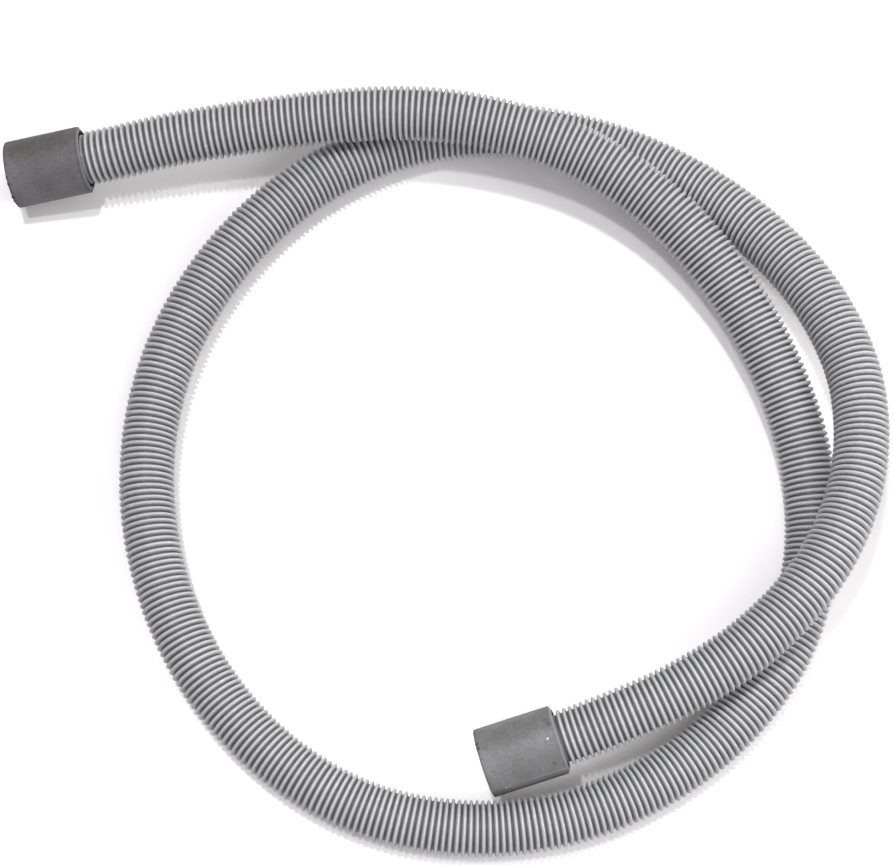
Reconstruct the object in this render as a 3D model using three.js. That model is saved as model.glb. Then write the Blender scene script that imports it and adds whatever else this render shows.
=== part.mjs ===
// Washing machine drain hose: a corrugated plastic tube with a soft rubber cuff on each end.
// It lies on the floor as it comes to rest, in one and a half loose loops that cross twice.
// Millimetres, +Z up. The floor is z = 0, under the middle of the area that the hose covers.
import * as THREE from 'three';

// Corrugated tube. The real ridges are 2.56 apart: each fold here stands for two of them.
const crestDiameter = 23;
const rootDiameter = 19.1;
const tubeWall = 0.5;
const foldPitch = 5.12;
const tubeSides = 8;
const foldsPerBoreRing = 2;

// Rubber cuffs. Each has a bore for a spigot in front and a socket for the tube behind.
const pumpSpigotBore = 19;
const wasteSpigotBore = 22;
const spigotDepth = 16;
const stopThickness = 2;
const socketDepth = 14;
const cuffWall = 2.2;
const tubeClearance = 0.3;
const mouthChamfer = 0.8;
const mouthRound = 0.8;
const rearBevel = 1;
const rearLip = 0.5;
const cuffSides = 40;
const roundSteps = 3;

const tubeColour = 0xa3a3a5;
const pumpCuffColour = 0x6b6a6a;
const wasteCuffColour = 0x858786;

// Centreline of the tube, from its end in the pump cuff to its end in the waste cuff.
// Three points in line at each end keep the tube straight inside the cuff.
const route = [
  [-160.3, 128.9, 16.9], [-146.5, 131.2, 19.4], [-136.8, 132.9, 21.1], [-100.4, 139.7, 25.9],
  [-20.8, 146.4, 34.4], [19.1, 142.1, 35.6], [57.2, 129.6, 34.2], [90.5, 107.5, 31.0],
  [117.0, 77.7, 26.4], [136.6, 43.0, 21.2], [148.8, 5.3, 16.3], [151.1, -34.3, 12.8],
  [140.3, -73.0, 11.6], [117.1, -105.3, 11.5], [85.1, -129.5, 11.5], [47.9, -144.3, 11.5],
  [7.8, -147.7, 11.5], [-31.3, -139.2, 11.5], [-65.9, -118.5, 11.5], [-92.7, -88.7, 11.5],
  [-110.6, -52.7, 11.5], [-118.8, -13.5, 11.5], [-116.7, 26.5, 11.5], [-104.2, 64.4, 11.5],
  [-82.2, 97.9, 11.5], [-52.3, 124.8, 11.5], [-16.0, 142.0, 11.5], [23.6, 147.9, 11.5],
  [63.1, 141.9, 12.2], [99.2, 125.3, 15.4], [130.5, 100.8, 20.6], [155.1, 69.3, 26.0],
  [169.1, 32.0, 30.6], [168.2, -7.9, 34.0], [153.0, -45.1, 36.0], [126.3, -75.2, 35.4],
  [92.6, -96.8, 32.2], [60.5, -110.2, 27.8], [50.0, -113.8, 26.1], [34.9, -118.3, 23.5],
];

const hose = new THREE.Group();
const centreline = new THREE.CatmullRomCurve3(route.map((p) => new THREE.Vector3(...p)), false, 'centripetal');
centreline.arcLengthDivisions = 2000;
const tubeLength = centreline.getLength();

const foldCount = Math.round(tubeLength / foldPitch);
const halfFold = tubeLength / foldCount / 2;

// Half section of the tube laid out straight: folds along the outside, one plain bore inside.
function tubeSection() {
  const crest = crestDiameter / 2;
  const root = rootDiameter / 2;
  const bore = root - tubeWall;
  const section = [];
  for (let i = 0; i <= 2 * foldCount; i += 1) {
    section.push(new THREE.Vector2(i % 2 ? crest : root, i * halfFold));
  }
  section.push(new THREE.Vector2(bore, tubeLength));
  for (let i = foldCount - 1; i > 0; i -= 1) {
    if (i % foldsPerBoreRing === 0) section.push(new THREE.Vector2(bore, 2 * i * halfFold));
  }
  section.push(new THREE.Vector2(bore, 0), section[0].clone());
  return section;
}

// Bends a shape that was turned about the Y axis, so that this axis follows the centreline.
function bendAlong(curve, geometry, stations) {
  const { normals, binormals } = curve.computeFrenetFrames(stations);
  const position = geometry.attributes.position;
  const length = curve.getLength();
  for (let i = 0; i < position.count; i += 1) {
    const station = Math.round((position.getY(i) / length) * stations);
    const point = curve.getPointAt(station / stations);
    point.addScaledVector(binormals[station], position.getX(i));
    point.addScaledVector(normals[station], position.getZ(i));
    position.setXYZ(i, point.x, point.y, point.z);
  }
  geometry.computeVertexNormals();
  return geometry;
}

// Half section of a cuff, with its mouth at 0 and the tube coming in from the other end.
function cuffSection(spigotBore) {
  const spigot = spigotBore / 2;
  const stop = rootDiameter / 2 - tubeWall;
  const socket = crestDiameter / 2 + tubeClearance;
  const outside = Math.max(spigot, socket) + cuffWall;
  const stopStart = spigotDepth;
  const stopEnd = stopStart + stopThickness;
  const rear = stopEnd + socketDepth;
  const section = [
    new THREE.Vector2(spigot + mouthChamfer, 0),
    new THREE.Vector2(spigot, mouthChamfer),
    new THREE.Vector2(spigot, stopStart),
    new THREE.Vector2(stop, stopStart),
    new THREE.Vector2(stop, stopEnd),
    new THREE.Vector2(socket, stopEnd),
    new THREE.Vector2(socket, rear),
    new THREE.Vector2(socket + rearLip, rear),
    new THREE.Vector2(outside, rear - rearBevel),
  ];
  for (let i = 0; i <= roundSteps; i += 1) {
    const angle = (i / roundSteps) * (Math.PI / 2);
    section.push(new THREE.Vector2(
      outside - mouthRound * (1 - Math.cos(angle)),
      mouthRound * (1 - Math.sin(angle)),
    ));
  }
  section.push(section[0].clone());
  return section.reverse();
}

// Places a cuff on one end of the tube, with its stop against that end.
function addCuff(name, spigotBore, colour, end) {
  const tubeEnd = centreline.getPointAt(end);
  const inward = centreline.getTangentAt(end).multiplyScalar(end === 0 ? 1 : -1);
  const cuff = new THREE.Mesh(
    new THREE.LatheGeometry(cuffSection(spigotBore), cuffSides),
    new THREE.MeshStandardMaterial({ color: colour, roughness: 0.6, metalness: 0 }),
  );
  cuff.name = name;
  cuff.quaternion.setFromUnitVectors(new THREE.Vector3(0, 1, 0), inward);
  cuff.position.copy(tubeEnd).addScaledVector(inward, -(spigotDepth + stopThickness + tubeClearance));
  hose.add(cuff);
}

const tube = new THREE.Mesh(
  bendAlong(centreline, new THREE.LatheGeometry(tubeSection(), tubeSides), 2 * foldCount),
  new THREE.MeshStandardMaterial({ color: tubeColour, roughness: 0.42, metalness: 0 }),
);
tube.name = 'corrugated_tube';
hose.add(tube);
addCuff('pump_end_cuff', pumpSpigotBore, pumpCuffColour, 0);
addCuff('waste_end_cuff', wasteSpigotBore, wasteCuffColour, 1);

export default hose;
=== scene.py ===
import math

import bpy
import numpy as np
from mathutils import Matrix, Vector


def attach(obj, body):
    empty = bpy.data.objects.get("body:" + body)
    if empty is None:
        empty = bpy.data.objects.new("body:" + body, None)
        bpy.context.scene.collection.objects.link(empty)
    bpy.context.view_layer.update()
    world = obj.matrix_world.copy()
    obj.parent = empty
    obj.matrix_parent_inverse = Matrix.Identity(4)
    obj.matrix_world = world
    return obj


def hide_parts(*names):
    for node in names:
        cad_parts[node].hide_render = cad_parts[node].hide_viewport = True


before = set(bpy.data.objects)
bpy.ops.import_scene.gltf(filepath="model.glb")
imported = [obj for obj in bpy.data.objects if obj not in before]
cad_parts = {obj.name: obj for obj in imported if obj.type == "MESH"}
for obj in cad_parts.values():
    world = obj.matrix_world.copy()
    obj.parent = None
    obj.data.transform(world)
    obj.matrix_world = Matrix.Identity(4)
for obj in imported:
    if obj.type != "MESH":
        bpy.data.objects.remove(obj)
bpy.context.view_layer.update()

print("frame loaded:", ", ".join(sorted(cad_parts)))

metresPerMm = 0.001


def hexToLinear(code):
    # "#rrggbb" as a colour picker shows it, to the linear values that the shaders take
    def toLinear(value):
        return value / 12.92 if value <= 0.04045 else ((value + 0.055) / 1.055) ** 2.4
    return tuple(toLinear(int(code[i:i + 2], 16) / 255) for i in (1, 3, 5)) + (1.0,)


def addNode(nodeTree, kind, settings=None, links=None):
    # settings: the node's own properties or its inputs, by name or number; links: input to output
    node = nodeTree.nodes.new(kind)
    for name, value in (settings or {}).items():
        if isinstance(name, str) and hasattr(node, name):
            setattr(node, name, value)
        else:
            node.inputs[name].default_value = value
    for name, socket in (links or {}).items():
        nodeTree.links.new(socket, node.inputs[name])
    return node


# Camera, looking down on the hose and a little from the front, from so far that little is foreshortened.
cameraSetup = {
    "position": (-0.01578, -0.37964, 1.3898),
    "tiltDegrees": 16.0,       # away from straight down
    "rollDegrees": -0.785,
    "lens": 140.94,
    "sensor": 36.0,
}


def placeCamera(setup):
    camera = bpy.data.objects.new("camera", bpy.data.cameras.new("camera"))
    camera.location = setup["position"]
    turns = (setup["tiltDegrees"], setup["rollDegrees"], 0)
    camera.rotation_euler = tuple(math.radians(turn) for turn in turns)
    camera.data.lens = setup["lens"]
    camera.data.sensor_width = setup["sensor"]
    bpy.context.scene.collection.objects.link(camera)
    bpy.context.scene.camera = camera


placeCamera(cameraSetup)
print("camera placed")


# Centreline of the tube in metres, from its end in the pump cuff to its end in the waste cuff.
# These are the same points that the solid model uses, so the ribbed tube lies where the solid lies.
hoseRoute = [
    (-0.1603, 0.1289, 0.0169), (-0.1465, 0.1312, 0.0194), (-0.1368, 0.1329, 0.0211),
    (-0.1004, 0.1397, 0.0259), (-0.0208, 0.1464, 0.0344), (0.0191, 0.1421, 0.0356),
    (0.0572, 0.1296, 0.0342), (0.0905, 0.1075, 0.0310), (0.1170, 0.0777, 0.0264),
    (0.1366, 0.0430, 0.0212), (0.1488, 0.0053, 0.0163), (0.1511, -0.0343, 0.0128),
    (0.1403, -0.0730, 0.0116), (0.1171, -0.1053, 0.0115), (0.0851, -0.1295, 0.0115),
    (0.0479, -0.1443, 0.0115), (0.0078, -0.1477, 0.0115), (-0.0313, -0.1392, 0.0115),
    (-0.0659, -0.1185, 0.0115), (-0.0927, -0.0887, 0.0115), (-0.1106, -0.0527, 0.0115),
    (-0.1188, -0.0135, 0.0115), (-0.1167, 0.0265, 0.0115), (-0.1042, 0.0644, 0.0115),
    (-0.0822, 0.0979, 0.0115), (-0.0523, 0.1248, 0.0115), (-0.0160, 0.1420, 0.0115),
    (0.0236, 0.1479, 0.0115), (0.0631, 0.1419, 0.0122), (0.0992, 0.1253, 0.0154),
    (0.1305, 0.1008, 0.0206), (0.1551, 0.0693, 0.0260), (0.1691, 0.0320, 0.0306),
    (0.1682, -0.0079, 0.0340), (0.1530, -0.0451, 0.0360), (0.1263, -0.0752, 0.0354),
    (0.0926, -0.0968, 0.0322), (0.0605, -0.1102, 0.0278), (0.0500, -0.1138, 0.0261),
    (0.0349, -0.1183, 0.0235),
]

# The tube, in millimetres. Its thin wall is blown into closed rings, so the inside is ribbed as well.
corrugatedTube = {
    "length": 1.491,           # metres, along the centreline
    "crestDiameter": 23.0,
    "rootDiameter": 19.1,
    "wall": 0.5,
    "ribPitch": 2.56,
    "collars": (2.3, 1.7),     # plain, before the first rib and after the last
    # each cuff's rear lip presses on one rib: its number, and what it keeps of its height
    "pressedRibs": {4: 0.45, -5: 0.3},
    "sides": 26,
    "ribbedInside": 31.0,      # the inside shows its ribs this far in from each end
    "plainRings": 120,         # inside the rest, where nobody can look
    "pitchSpread": 0.03,       # no two ribs come off the mould quite alike
    "heightSpread": 0.04,
    "seed": 11,
}

# One rib from groove to groove: how far along it, and how high between root and crest.
ribProfile = [(0.0, 0.0), (0.15, 0.10), (0.28, 0.72),
              (0.5, 1.0), (0.72, 0.72), (0.85, 0.10)]
ribProfileInside = [(0.0, 0.0), (0.22, 0.12), (0.34, 0.72),
                    (0.5, 0.90), (0.66, 0.72), (0.78, 0.12)]


def smoothCurve(points, stepsPerSpan=80):
    # centripetal Catmull-Rom through all points, which never loops or overshoots between them
    points = np.array(points)
    points = np.vstack([2 * points[0] - points[1], points, 2 * points[-1] - points[-2]])
    along = np.linspace(0, 1, stepsPerSpan, endpoint=False)[:, None]
    curve = []
    for before, start, end, after in zip(points, points[1:], points[2:], points[3:]):
        first, here, last = (math.sqrt(np.linalg.norm(b - a))
                             for a, b in ((before, start), (start, end), (end, after)))
        leaving = (start - before) / first - (end - before) / (first + here) + (end - start) / here
        arriving = (end - start) / here - (after - start) / (here + last) + (after - end) / last
        leaving, arriving = leaving * here, arriving * here
        curve.append(start + leaving * along + (3 * (end - start) - 2 * leaving - arriving) * along ** 2
                     + (2 * (start - end) + leaving + arriving) * along ** 3)
    return np.vstack(curve + [points[-2:-1]])


def carryFrame(curve):
    # a side direction carried along the curve without twist, and the direction across both
    forward = np.gradient(curve, axis=0)
    forward /= np.linalg.norm(forward, axis=1)[:, None]
    side = np.zeros_like(curve)
    side[0] = np.cross(forward[0], (0, 0, 1))
    for i in range(len(curve)):
        last = side[i - 1] if i else side[0]
        side[i] = last - forward[i] * (last @ forward[i])
        side[i] /= np.linalg.norm(side[i])
    return forward, side, np.cross(forward, side)


def ringMesh(name, centres, sides, ups, radii, angles, ownSpace, extras):
    # rings of points joined one to the next and the last to the first: a closed skin with a hole
    # through it; extras are values that its material reads, one for each ring or each point
    around = (np.cos(angles)[None, :, None] * sides[:, None]
              + np.sin(angles)[None, :, None] * ups[:, None])
    points = centres.reshape(len(sides), -1, 3) + radii[:, :, None] * around
    rings, count = points.shape[:2]
    index = np.arange(rings * count).reshape(rings, count)
    nextRing, nextSide = np.roll(index, -1, axis=0), np.roll(index, -1, axis=1)
    corner = np.roll(nextRing, -1, axis=1)
    faces = np.stack([index, nextSide, corner, nextRing], axis=-1).reshape(-1, 4)
    mesh = bpy.data.meshes.new(name)
    mesh.from_pydata(points.reshape(-1, 3).tolist(), [], faces.tolist())
    mesh.shade_smooth()
    space = mesh.attributes.new("ownSpace", "FLOAT_VECTOR", "POINT")
    space.data.foreach_set("vector", ownSpace.reshape(-1).astype(np.float32))
    for title, values in extras.items():
        layer = mesh.attributes.new(title, "FLOAT", "POINT")
        everyPoint = np.broadcast_to(values, (rings, count)).reshape(-1)
        layer.data.foreach_set("value", everyPoint.astype(np.float32))
    mesh.validate()
    piece = bpy.data.objects.new(name, mesh)
    bpy.context.scene.collection.objects.link(piece)
    return piece


def makeTube(spec):
    curve = smoothCurve(hoseRoute)
    steps = np.linalg.norm(np.diff(curve, axis=0), axis=1)
    run = np.concatenate([[0], np.cumsum(steps)])
    forward, side, up = carryFrame(curve)
    length = run[-1]

    firstCollar, lastCollar = (collar * metresPerMm for collar in spec["collars"])
    ribbedLength = length - firstCollar - lastCollar
    pitch = spec["ribPitch"] * metresPerMm
    ribs = round(ribbedLength / pitch)
    random = np.random.default_rng(spec["seed"])
    widths = 1 + spec["pitchSpread"] * random.uniform(-1, 1, ribs)
    starts = firstCollar + np.concatenate([[0], np.cumsum(widths)]) / widths.sum() * ribbedLength
    root = spec["rootDiameter"] / 2
    bore = root - spec["wall"]
    kept = np.ones(ribs)
    for rib, share in spec["pressedRibs"].items():
        kept[rib] = share
    lower = 1 - spec["heightSpread"] * random.uniform(0, 1, ribs)
    rise = (spec["crestDiameter"] / 2 - root) * lower * kept

    def ribPlace(rib, along):
        return starts[rib] + (starts[rib + 1] - starts[rib]) * along

    # outside from end to end, then back inside: place, radius, height and rib number of each ring
    outside = [(0, root, 0, 0)]
    outside += [(ribPlace(k, along), root + rise[k] * high, high * kept[k], k)
                for k in range(ribs) for along, high in ribProfile]
    outside += [(starts[-1], root, 0, ribs), (length, root, 0, ribs)]
    depth = spec["ribbedInside"] * metresPerMm
    ribbed = [(ribPlace(k, along), bore + rise[k] * high, 0, k)
              for k in range(ribs) if starts[k] < depth or starts[k] > length - depth
              for along, high in ribProfileInside]
    plain = [(place, bore, 0, 0)
             for place in np.linspace(depth, length - depth, spec["plainRings"])[1:-1]
             if all(abs(place - row[0]) > pitch for row in ribbed)]
    ends = [(place, bore, 0, 0) for place in (0, starts[-1], length)]
    rows = np.array(outside + sorted(ribbed + plain + ends)[::-1], dtype=float)

    def atPlaces(values, places):
        return np.stack([np.interp(places, run, values[:, i]) for i in range(3)], axis=-1)

    places = rows[:, 0]
    centres, sides, ups = (atPlaces(values, places) for values in (curve, side, up))
    angles = np.linspace(0, 2 * math.pi, spec["sides"], endpoint=False)
    radii = np.repeat(rows[:, 1:2], spec["sides"], axis=1)
    space = np.stack([radii * np.cos(angles), radii * np.sin(angles),
                      np.repeat(places[:, None] / metresPerMm, spec["sides"], axis=1)], axis=-1)
    tube = ringMesh("ribbed_tube", centres, sides, ups, radii * metresPerMm, angles, space,
                    {"ribHeight": rows[:, 2:3], "ribNumber": rows[:, 3:4]})
    path = [tuple(point) for point in atPlaces(curve, [0, *starts, length])]
    return tube, path, {"start": (curve[0], forward[0]), "end": (curve[-1], -forward[-1])}


tube, tubePath, tubeEnds = makeTube(corrugatedTube)
print("tube made:", len(tube.data.polygons) * 2, "triangles")


# The two rubber cuffs, in millimetres. Each is pushed over the tube up to a stop inside it.
cuffShape = {
    "spigotDepth": 16.0,
    "stopThickness": 2.0,
    "stopClearance": 0.3,
    "socketDepth": 14.0,
    "socketDiameter": 23.6,
    "stopDiameter": 18.1,
    "outsideDiameter": 28.0,
    "mouthRound": 0.6,
    "rearBevel": 1.0,
    "rearLip": 0.5,
    "edgeRound": 0.3,          # at the bevel and inside; half as much at the lip
    "socketRound": 0.12,
    "columns": 96,
    "closerColumns": (-2.2, -1.3, -0.6, 0, 0.6, 1.3, 2.2),    # across a parting line, in its widths
    "leastTurn": 0.004,        # columns closer together than this are merged, in radians
    "partingWidth": 0.35,      # the mould closed along two lines, which stand up a little
    "partingHeight": 0.10,
    "burrWidth": 0.45,
    "burrCrest": 0.3,          # how far back from the mouth a burr is highest, and its spread there
    "burrSpread": 0.7071,
    "rimDepth": 0.9,           # what counts as the mouth's rim, down from the wall
    "edgeDepth": 0.5,          # and as the rear edge
    "mouthPaintedShadeWidth": 0.6,
    "edgeDirtWidth": 0.3,
    "seamPaintedShadePlace": 5.2,      # painted shade, beside the first parting line
    "seamPaintedShadeWidth": 1.9,
    "seamPaintedHighlightWidth": 0.4,
    "seamPaintedHighlightFrom": (10.0, 20.0),    # back from the mouth: none yet, and full
    "bevelPaintedHighlightFrom": (0.35, 0.75),   # shares of the way down the rear bevel: none yet, and full
}
# Each cuff's own values; the painted shade, dirt and painted highlight are strengths from 0 to 1.
pumpCuff = {
    "spigotDiameter": 19.0,
    "partingAngles": (92.0, 272.0),
    "burrs": ((-23.0, 0.25), (-35.0, 0.30), (-62.0, 0.35), (-72.0, 0.28)),    # angle and height
    "seamPaintedShade": 0.0,
    "seamPaintedHighlight": 0.0,
    "mouthPaintedShade": 0.75,
    "edgeDirt": 0.40,
}
wasteCuff = {
    "spigotDiameter": 22.0,
    "partingAngles": (-65.0, 115.0),
    "burrs": ((26.0, 0.12), (17.0, 0.12), (-62.0, 0.12)),
    "seamPaintedShade": 0.85,
    "seamPaintedHighlight": 0.60,
    "mouthPaintedShade": 0.55,
    "edgeDirt": 0.15,
}


def roundCorners(corners):
    # each corner is (distance, radius, rounding); a short arc takes the place of a rounded one
    degreesPerStep = 15
    outline = []
    for i, (x, y, rounding) in enumerate(corners):
        here = np.array([x, y])
        before = np.array(corners[i - 1][:2]) - here
        after = np.array(corners[(i + 1) % len(corners)][:2]) - here
        before, after = before / np.linalg.norm(before), after / np.linalg.norm(after)
        if not rounding:
            outline.append(here)
            continue
        half = math.acos(np.clip(before @ after, -1, 1)) / 2
        middle = here + (before + after) / np.linalg.norm(before + after) * rounding / math.sin(half)
        first = here + before * rounding / math.tan(half) - middle
        last = here + after * rounding / math.tan(half) - middle
        sweep = math.pi - 2 * half
        steps = max(2, round(math.degrees(sweep) / degreesPerStep))
        for share in np.arange(steps + 1) / steps:
            blend = math.sin((1 - share) * sweep) * first + math.sin(share * sweep) * last
            outline.append(middle + blend / math.sin(sweep))
    return np.array(outline)


def cuffOutline(shape, spigot, rear):
    # half section of a cuff: from the mouth along the outside to the rear, and back inside
    diameters = (shape["outsideDiameter"], shape["stopDiameter"], shape["socketDiameter"])
    outside, stop, socket = (diameter / 2 for diameter in diameters)
    stopStart = shape["spigotDepth"]
    stopEnd = stopStart + shape["stopThickness"]
    bevelStart, lip = rear - shape["rearBevel"], socket + shape["rearLip"]
    rounding = shape["edgeRound"]
    # points with no corner keep the painted shade, dirt and painted highlight from spreading along the
    # wall and down the bevel
    onWall = (1.2, 2.2, rear * 0.25, rear * 0.5, rear * 0.75, bevelStart - 0.7)
    downBevel = 0.4
    return roundCorners([
        (0, outside, shape["mouthRound"]),
        *((along, outside, 0) for along in onWall),
        (bevelStart, outside, rounding),
        (bevelStart + (rear - bevelStart) * downBevel, outside - (outside - lip) * downBevel, 0),
        (rear, lip, rounding / 2),
        (rear, socket, shape["socketRound"]),
        (stopEnd, socket, rounding),
        (stopEnd, stop, rounding),
        (stopStart, stop, rounding),
        (stopStart, spigot, rounding),
        (0, spigot, shape["mouthRound"]),
    ])


def turnFrom(degrees, angles):
    # how far each angle is past the one in degrees, the short way round
    return (angles - math.radians(degrees) + math.pi) % (2 * math.pi) - math.pi


def band(distance, width):
    # 1 on a line, fading out to both sides of it
    return np.exp(-(distance / width) ** 2)


def ramp(value, none, full):
    return np.clip((value - none) / (full - none), 0, 1)


def cuffColumns(shape, spec):
    # even columns, with closer ones at the parting lines and the burrs
    close = np.array(shape["closerColumns"]) * shape["partingWidth"] / (shape["outsideDiameter"] / 2)
    columns = [np.linspace(-math.pi, math.pi, shape["columns"], endpoint=False)]
    columns += [turnFrom(0, math.radians(angle) + close) for angle in spec["partingAngles"]]
    columns += [turnFrom(0, math.radians(angle) + close / 2) for angle, height in spec["burrs"]]
    angles = np.unique(np.concatenate(columns))
    return angles[np.concatenate([[True], np.diff(angles) > shape["leastTurn"]])]


def makeCuff(name, shape, spec, tubeEnd):
    end, inward = (np.array(v) for v in tubeEnd)
    stopEnd = shape["spigotDepth"] + shape["stopThickness"]
    rear = stopEnd + shape["socketDepth"]
    mouth = end - inward * (stopEnd + shape["stopClearance"]) * metresPerMm
    up = np.array([0, 0, 1]) - inward * inward[2]
    up /= np.linalg.norm(up)
    side = np.cross(up, inward)    # angles run from the top round towards this side

    outside, bevelStart = shape["outsideDiameter"] / 2, rear - shape["rearBevel"]
    lip = shape["socketDiameter"] / 2 + shape["rearLip"]
    outline = cuffOutline(shape, spec["spigotDiameter"] / 2, rear)
    alongs, radii = outline[:, 0:1], outline[:, 1:2]
    margin = 0.1
    onWall = radii > outside - margin / 2
    onRim = radii > outside - shape["rimDepth"]
    onEdge = radii > outside - shape["edgeDepth"]
    onBevel = (alongs > bevelStart - margin) & (radii > lip - 2 * margin)
    angles = cuffColumns(shape, spec)
    beside = -turnFrom(spec["partingAngles"][0], angles) * outside

    # painted shade lies in the lee of the first parting line and round the mouth's rim, and dirt along
    # the rear edge
    seamPaintedShade = onWall * band(beside - shape["seamPaintedShadePlace"], shape["seamPaintedShadeWidth"])
    mouthPaintedShade = onRim * band(alongs, shape["mouthPaintedShadeWidth"])
    edgeDirt = onEdge * band(alongs - bevelStart, shape["edgeDirtWidth"])
    paintedShadeAndDirt = np.clip(spec["seamPaintedShade"] * seamPaintedShade + spec["mouthPaintedShade"] * mouthPaintedShade
                   + spec["edgeDirt"] * edgeDirt, 0, 1)

    # painted highlight makes the thin rear rim pale, and the first parting line towards the rear
    rimPaintedHighlight = onBevel * ramp((outside - radii) / (outside - lip), *shape["bevelPaintedHighlightFrom"])
    seamPaintedHighlight = onWall * ramp(alongs, *shape["seamPaintedHighlightFrom"]) * band(beside, shape["seamPaintedHighlightWidth"])
    paintedHighlight = np.clip(rimPaintedHighlight + spec["seamPaintedHighlight"] * seamPaintedHighlight, 0, 1)

    # the parting lines stand up, and burrs stand out of the mouth's rim, forwards and a bit outwards
    atMouth = onRim * band(alongs - shape["burrCrest"], shape["burrSpread"])
    for angle in spec["partingAngles"]:
        line = band(turnFrom(angle, angles) * outside, shape["partingWidth"])
        radii = radii + onWall * shape["partingHeight"] * line
    for angle, height in spec["burrs"]:
        burr = atMouth * height * band(turnFrom(angle, angles) * outside, shape["burrWidth"])
        radii = radii + burr / 2
        alongs = alongs - burr

    centres = mouth + inward * alongs[:, :, None] * metresPerMm
    count = len(outline)
    space = np.stack([radii * np.cos(angles), radii * np.sin(angles), alongs], axis=-1)
    return ringMesh(name, centres, np.tile(up, (count, 1)), np.tile(side, (count, 1)),
                    radii * metresPerMm, angles, space, {"paintedShadeAndDirt": paintedShadeAndDirt, "paintedHighlight": paintedHighlight})


pumpEnd = makeCuff("pump_cuff", cuffShape, pumpCuff, tubeEnds["start"])
wasteEnd = makeCuff("waste_cuff", cuffShape, wasteCuff, tubeEnds["end"])
print("cuffs made")


def finishSurface(tree, finish, space, uneven, colour, gloss):
    # what both materials end in: a fine grain, and a roughness that follows the noise given
    grain = addNode(tree, "ShaderNodeTexNoise",
                    {"Scale": 1 / finish["grainMm"], "Detail": finish["grainDetail"]},
                    {"Vector": space.outputs["Vector"]})
    bump = addNode(tree, "ShaderNodeBump",
                   {"Strength": finish["grainStrength"], "Distance": finish["grainDepth"] * metresPerMm},
                   {"Height": grain.outputs["Fac"]})
    smoothest, roughest = (finish["roughness"] + part for part in finish["roughnessSpread"])
    rough = addNode(tree, "ShaderNodeMapRange", {"To Min": smoothest, "To Max": roughest},
                    {"Value": uneven.outputs["Fac"]})
    shader = addNode(tree, "ShaderNodeBsdfPrincipled", gloss,
                     {"Base Color": colour, "Roughness": rough.outputs["Result"],
                      "Normal": bump.outputs["Normal"]})
    addNode(tree, "ShaderNodeOutputMaterial", None, {"Surface": shader.outputs["BSDF"]})


# Polypropylene, blown between corrugated mould blocks: satin, with pale rubbed spots on the crests.
# Painted light makes the crests pale and painted shade makes the grooves dark. Sizes are in millimetres.
tubeFinish = {
    "crest": "#d6d6d8",
    "paintedShadedGroove": "#525254",
    "worn": "#e3e3e5",
    "roughness": 0.38,
    "roughnessSpread": (-0.06, 0.08),
    "ior": 1.49,
    "patchMm": 30.0,           # broad patches that drift along the hose
    "toneSpread": (0.93, 1.06),
    "rubsPerMm": 0.45,         # rubbed spots on the crests, each some 2 mm wide
    "rubbedFrom": (0.56, 0.70),      # of the noise: none yet, and full
    "grainMm": 0.35,           # the real grain is finer and wouldn't show
    "grainDetail": 2.0,
    "grainDepth": 0.03,
    "grainStrength": 0.25,
}


def blownPolypropylene(finish):
    material = bpy.data.materials.new("blown_polypropylene")
    material.use_nodes = True
    tree = material.node_tree
    tree.nodes.clear()
    space = addNode(tree, "ShaderNodeAttribute", {"attribute_name": "ownSpace"})
    height = addNode(tree, "ShaderNodeAttribute", {"attribute_name": "ribHeight"})
    number = addNode(tree, "ShaderNodeAttribute", {"attribute_name": "ribNumber"})
    # painted light and shade: pale on the crests, dark down in the grooves
    byHeight = addNode(tree, "ShaderNodeMix",
                       {"data_type": "RGBA", 6: hexToLinear(finish["paintedShadedGroove"]),
                        7: hexToLinear(finish["crest"])},
                       {0: height.outputs["Fac"]})
    # each rib has a tone of its own, from 0 to 1, and so has each patch
    ribTone = addNode(tree, "ShaderNodeTexWhiteNoise", {"noise_dimensions": "1D"},
                      {"W": number.outputs["Fac"]})
    patches = addNode(tree, "ShaderNodeTexNoise", {"Scale": 1 / finish["patchMm"], "Detail": 3.0},
                      {"Vector": space.outputs["Vector"]})
    toneSum = addNode(tree, "ShaderNodeMath", {"operation": "ADD"},
                      {0: ribTone.outputs["Value"], 1: patches.outputs["Fac"]})
    darkest, lightest = finish["toneSpread"]
    tone = addNode(tree, "ShaderNodeMapRange",
                   {"From Min": 0.2, "From Max": 1.8, "To Min": darkest, "To Max": lightest},
                   {"Value": toneSum.outputs["Value"]})
    toned = addNode(tree, "ShaderNodeVectorMath", {"operation": "SCALE"},
                    {0: byHeight.outputs[2], "Scale": tone.outputs["Result"]})
    # rubbed spots on the crests
    rub = addNode(tree, "ShaderNodeTexNoise",
                  {"Scale": finish["rubsPerMm"], "Detail": 4.0, "Roughness": 0.65},
                  {"Vector": space.outputs["Vector"]})
    none, full = finish["rubbedFrom"]
    pale = addNode(tree, "ShaderNodeMapRange", {"From Min": none, "From Max": full},
                     {"Value": rub.outputs["Fac"]})
    onCrest = addNode(tree, "ShaderNodeMath", {"operation": "MULTIPLY"},
                      {0: pale.outputs["Result"], 1: height.outputs["Fac"]})
    colour = addNode(tree, "ShaderNodeMix", {"data_type": "RGBA", 7: hexToLinear(finish["worn"])},
                     {0: onCrest.outputs["Value"], 6: toned.outputs["Vector"]})
    finishSurface(tree, finish, space, rub, colour.outputs[2], {"IOR": finish["ior"]})
    return material


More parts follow.
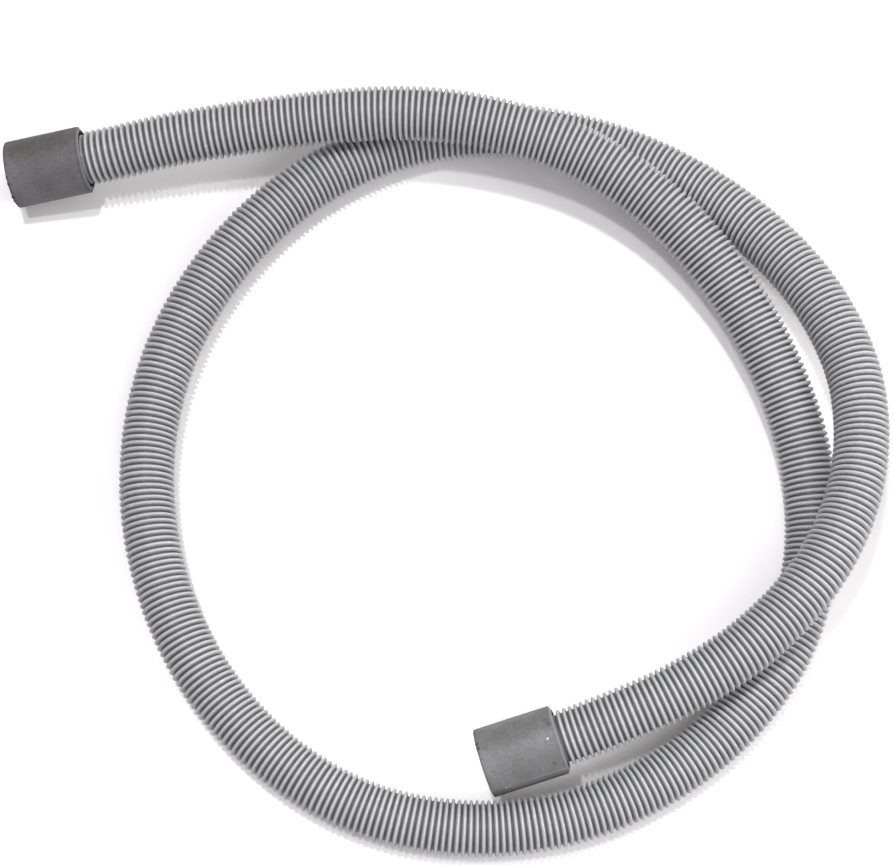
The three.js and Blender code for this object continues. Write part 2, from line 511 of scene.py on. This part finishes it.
# Soft moulded rubber: matt, with a faint pale bloom and smudges where hands and tools have been.
rubberFinish = {
    "ior": 1.52,
    "roughnessSpread": (-0.07, 0.10),
    "bloomFrom": (0.35, 0.70),       # of the noise: none yet, and full
    "smudgeMm": 4.0,
    "smudgedFrom": (0.56, 0.72),
    "smudgeStrength": 0.75,
    "scuffMm": 1.1,            # fine scuffs all over
    "scuffSpread": (0.83, 1.17),
    # the colour of the painted shade and of the dirt, then that of the painted highlight
    "paintedShadeAndDirt": "#303030",
    "pale": "#b4b4b4",
    "markWander": 1.2,         # millimetres by which the marks' edges wander
    "grainMm": 0.30,           # the real grain is finer and wouldn't show
    "grainDetail": 3.0,
    "grainDepth": 0.04,
    "grainStrength": 0.35,
}
# Each cuff's own values. A mark is how far from the mouth and at what angle it is, its size in
# millimetres, how far its edge runs out, its colour and its strength.
pumpCuffFinish = {
    "rubber": "#696869",
    "bloom": "#787778",
    "smudge": "#4c4b4c",
    "roughness": 0.62,
    "shine": 0.28,
    "bloomMm": 9.0,
    "paintedHighlight": 0.45,
    "marks": [
        (8.0, 34.0, 1.0, 12.0, "#4f4d3f", 0.55),       # painted shade down the upper side, olive-brown
        (22.0, 28.0, 1.0, 12.0, "#4f4d42", 0.50),
        (17.0, -48.0, 1.0, 8.0, "#675a5e", 0.25),
        (9.0, -84.0, 2.0, 8.0, "#8a8889", 0.40),       # painted light low down
        (22.0, -84.0, 2.0, 8.0, "#8a8889", 0.40),
        (0.2, -23.0, 0.3, 0.6, "#2c2c2c", 0.9),        # dirt round the burrs
        (0.2, -35.0, 0.4, 0.6, "#2c2c2c", 0.9),
        (0.2, -62.0, 0.4, 0.7, "#2c2c2c", 0.9),
        (0.2, -72.0, 0.3, 0.6, "#2c2c2c", 0.9),
        (21.0, -40.0, 0.1, 0.5, "#8b8989", 0.5),       # small pale scratches
        (16.5, -39.0, 0.1, 0.5, "#878585", 0.4),
    ],
}
wasteCuffFinish = {
    "rubber": "#707171",
    "bloom": "#808181",
    "smudge": "#585858",
    "roughness": 0.54,
    "shine": 0.55,
    "bloomMm": 10.0,
    "paintedHighlight": 0.70,
    "marks": [
        (28.0, -3.0, 0.30, 0.25, "#f4f4f4", 1.0),      # a small white fleck
        (26.8, -7.0, 0.2, 0.5, "#565656", 0.6),
        (30.0, 20.0, 0.5, 1.2, "#505050", 0.7),        # dark spots near the rear
        (29.2, 29.0, 0.5, 1.4, "#565656", 0.6),
        (27.5, -46.0, 0.4, 0.9, "#585858", 0.6),
        (25.6, -30.0, 0.2, 0.8, "#636363", 0.5),
        (6.3, -65.0, 0.25, 0.3, "#e8e8e8", 0.9),       # two nicks in the parting line
        (7.8, -65.0, 0.15, 0.3, "#dedede", 0.8),
        (0.6, 26.0, 0.5, 0.6, "#3c3c3c", 0.9),         # dirt round the burrs
        (0.6, 17.0, 0.5, 0.6, "#3c3c3c", 0.9),
        # painted shade low down by the mouth
        (2.5, -84.0, 2.0, 6.0, "#444444", 0.55),
        (9.0, 68.0, 2.0, 7.0, "#969696", 0.45),        # painted light on the upper side
        (23.0, 68.0, 2.0, 7.0, "#969696", 0.45),
    ],
}


def mouldedRubber(name, finish):
    material = bpy.data.materials.new(name)
    material.use_nodes = True
    tree = material.node_tree
    tree.nodes.clear()
    space = addNode(tree, "ShaderNodeAttribute", {"attribute_name": "ownSpace"})
    bloom = addNode(tree, "ShaderNodeTexNoise",
                    {"Scale": 1 / finish["bloomMm"], "Detail": 4.0, "Roughness": 0.6},
                    {"Vector": space.outputs["Vector"]})
    none, full = finish["bloomFrom"]
    bloomed = addNode(tree, "ShaderNodeMapRange", {"From Min": none, "From Max": full},
                      {"Value": bloom.outputs["Fac"]})
    body = addNode(tree, "ShaderNodeMix",
                   {"data_type": "RGBA", 6: hexToLinear(finish["rubber"]),
                    7: hexToLinear(finish["bloom"])},
                   {0: bloomed.outputs["Result"]})
    smudge = addNode(tree, "ShaderNodeTexNoise",
                     {"Scale": 1 / finish["smudgeMm"], "Detail": 5.0, "Roughness": 0.7,
                      "Distortion": 0.6}, {"Vector": space.outputs["Vector"]})
    none, full = finish["smudgedFrom"]
    smudged = addNode(tree, "ShaderNodeMapRange",
                      {"From Min": none, "From Max": full, "To Max": finish["smudgeStrength"]},
                      {"Value": smudge.outputs["Fac"]})
    colour = addNode(tree, "ShaderNodeMix", {"data_type": "RGBA", 7: hexToLinear(finish["smudge"])},
                     {0: smudged.outputs["Result"], 6: body.outputs[2]})
    scuff = addNode(tree, "ShaderNodeTexNoise",
                    {"Scale": 1 / finish["scuffMm"], "Detail": 4.0, "Roughness": 0.7},
                    {"Vector": space.outputs["Vector"]})
    darkest, lightest = finish["scuffSpread"]
    scuffTone = addNode(tree, "ShaderNodeMapRange",
                        {"From Min": 0.3, "From Max": 0.7, "To Min": darkest, "To Max": lightest},
                        {"Value": scuff.outputs["Fac"]})
    scuffed = addNode(tree, "ShaderNodeVectorMath", {"operation": "SCALE"},
                      {0: colour.outputs[2], "Scale": scuffTone.outputs["Result"]})
    # painted shade round the mouth and beside the parting line, and dirt along the rear edge
    paintedShadeAndDirt = addNode(tree, "ShaderNodeAttribute", {"attribute_name": "paintedShadeAndDirt"})
    withShadeAndDirt = addNode(tree, "ShaderNodeMix", {"data_type": "RGBA", 7: hexToLinear(finish["paintedShadeAndDirt"])},
                      {0: paintedShadeAndDirt.outputs["Fac"], 6: scuffed.outputs["Vector"]})
    # painted highlight on the thin rear rim and along the first parting line
    paintedHighlight = addNode(tree, "ShaderNodeAttribute", {"attribute_name": "paintedHighlight"})
    paintedHighlightShare = addNode(tree, "ShaderNodeMath", {"operation": "MULTIPLY", 1: finish["paintedHighlight"]},
                        {0: paintedHighlight.outputs["Fac"]})
    last = addNode(tree, "ShaderNodeMix", {"data_type": "RGBA", 7: hexToLinear(finish["pale"])},
                   {0: paintedHighlightShare.outputs["Value"], 6: withShadeAndDirt.outputs[2]}).outputs[2]
    # the marks, whose edges wander with the scuffs
    wander = finish["markWander"]
    uneven = addNode(tree, "ShaderNodeVectorMath", {"operation": "MULTIPLY_ADD", 1: (wander,) * 3},
                     {0: scuff.outputs["Color"], 2: space.outputs["Vector"]})
    radius = cuffShape["outsideDiameter"] / 2
    for along, degrees, size, edge, shade, strength in finish["marks"]:
        angle = math.radians(degrees)
        place = (radius * math.cos(angle), radius * math.sin(angle), along)
        distance = addNode(tree, "ShaderNodeVectorMath",
                           {"operation": "DISTANCE", 1: tuple(value + wander / 2 for value in place)},
                           {0: uneven.outputs["Vector"]})
        inMark = addNode(tree, "ShaderNodeMapRange",
                         {"interpolation_type": "SMOOTHSTEP", "From Min": size + edge,
                          "From Max": size, "To Max": strength}, {"Value": distance.outputs["Value"]})
        last = addNode(tree, "ShaderNodeMix", {"data_type": "RGBA", 7: hexToLinear(shade)},
                       {0: inMark.outputs["Result"], 6: last}).outputs[2]
    finishSurface(tree, finish, space, smudge, last,
                  {"IOR": finish["ior"], "Specular IOR Level": finish["shine"]})
    return material


tube.data.materials.append(blownPolypropylene(tubeFinish))
pumpEnd.data.materials.append(mouldedRubber("moulded_rubber_dark", {**rubberFinish, **pumpCuffFinish}))
wasteEnd.data.materials.append(mouldedRubber("moulded_rubber_grey", {**rubberFinish, **wasteCuffFinish}))
print("materials made")

for piece, node, slot in (
    (tube, "corrugated_tube", "tube_plastic"),
    (pumpEnd, "pump_end_cuff", "dark_rubber"),
    (wasteEnd, "waste_end_cuff", "grey_rubber"),
):
    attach(piece, "root")
    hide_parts(node)


# Floor: matt white card, as far as any view can see.
floorLook = {
    "halfWidth": 6.0,
    "seen": (1.27, 1.255, 1.235, 1.0),     # to the camera: plain white where all the lamps reach
    "lit": (0.80, 0.80, 0.80, 1.0),        # to the light that it throws back on the hose
}


def makeFloor(look):
    half = look["halfWidth"]
    corners = [(-half, -half, 0), (half, -half, 0), (half, half, 0), (-half, half, 0)]
    mesh = bpy.data.meshes.new("floor")
    mesh.from_pydata(corners, [], [(0, 1, 2, 3)])
    floor = bpy.data.objects.new("floor", mesh)
    bpy.context.scene.collection.objects.link(floor)
    material = bpy.data.materials.new("matt_white_card")
    material.use_nodes = True
    tree = material.node_tree
    tree.nodes.clear()
    rays = addNode(tree, "ShaderNodeLightPath")
    white = addNode(tree, "ShaderNodeMix", {"data_type": "RGBA", 6: look["lit"], 7: look["seen"]},
                    {0: rays.outputs["Is Camera Ray"]})
    shader = addNode(tree, "ShaderNodeBsdfDiffuse", None, {"Color": white.outputs[2]})
    addNode(tree, "ShaderNodeOutputMaterial", None, {"Surface": shader.outputs["BSDF"]})
    mesh.materials.append(material)


makeFloor(floorLook)

# Light: two small high lamps from the left draw the shadows, soft ones from above and from the back
# right and three soft boxes in front and on the right round the ribs, and the room fills in the rest.
# onFloor is what each adds to a white floor at its middle.
farLamps = {
    "back_lamp": {"towards": (-0.15, 0.20, 1.0), "onFloor": 0.32, "width": 3.0, "colour": "#fafaff"},
    "left_lamp": {"towards": (-0.23, 0.02, 1.0), "onFloor": 0.18, "width": 3.0, "colour": "#fafaff"},
    "ceiling_lamp": {"towards": (0.0, 0.0, 1.0), "onFloor": 0.11, "width": 40.0, "colour": "#ffffff"},
    "window_lamp": {"towards": (1.5, 1.5, 1.0), "onFloor": 0.14, "width": 40.0, "colour": "#ffffff"},
}
softBoxes = {
    "front_box": {"place": (0.0, -0.6, 0.8), "onFloor": 0.12, "size": 0.4, "colour": "#f7f7ff"},
    "corner_box": {"place": (0.5, -0.5, 0.8), "onFloor": 0.08, "size": 0.4, "colour": "#f7f7ff"},
    "right_box": {"place": (0.8, -0.2, 0.5), "onFloor": 0.105, "size": 0.4, "colour": "#ffffff"},
}
roomSetup = {"onFloor": 0.06, "colour": "#fff4ea"}


def hangLamp(name, kind, towards, setup):
    lamp = bpy.data.objects.new(name, bpy.data.lights.new(name, kind))
    lamp.rotation_euler = towards.to_track_quat("Z", "Y").to_euler()
    lamp.data.color = hexToLinear(setup["colour"])[:3]
    lamp.visible_camera = False
    bpy.context.scene.collection.objects.link(lamp)
    return lamp


def makeFarLamp(name, setup):
    towards = Vector(setup["towards"]).normalized()
    lamp = hangLamp(name, "SUN", towards, setup)
    lamp.data.energy = setup["onFloor"] * math.pi / towards.z
    lamp.data.angle = math.radians(setup["width"])    # of the lamp in the sky, in degrees


def makeSoftBox(name, setup):
    place = Vector(setup["place"])
    lamp = hangLamp(name, "AREA", place, setup)
    lamp.location = place
    lamp.data.shape = "DISK"
    lamp.data.size = setup["size"]
    # it faces the floor's middle, so the light falls off with the distance and with its slant there
    lamp.data.energy = setup["onFloor"] * math.pi ** 2 * place.length ** 3 / place.z


def makeRoom(setup):
    # the room is dim as a light, and white to the camera and in reflections
    world = bpy.data.worlds.new("room")
    world.use_nodes = True
    tree = world.node_tree
    tree.nodes.clear()
    rays = addNode(tree, "ShaderNodeLightPath")
    seen = addNode(tree, "ShaderNodeMath", {"operation": "MAXIMUM"},
                   {0: rays.outputs["Is Camera Ray"], 1: rays.outputs["Is Glossy Ray"]})
    strength = addNode(tree, "ShaderNodeMapRange", {"To Min": setup["onFloor"], "To Max": 1.0},
                       {"Value": seen.outputs["Value"]})
    room = addNode(tree, "ShaderNodeBackground", {"Color": hexToLinear(setup["colour"])},
                   {"Strength": strength.outputs["Result"]})
    addNode(tree, "ShaderNodeOutputWorld", None, {"Surface": room.outputs["Background"]})
    bpy.context.scene.world = world


for name, setup in farLamps.items():
    makeFarLamp(name, setup)
for name, setup in softBoxes.items():
    makeSoftBox(name, setup)
makeRoom(roomSetup)
bpy.context.scene.view_settings.view_transform = "Standard"
print("floor and light set")
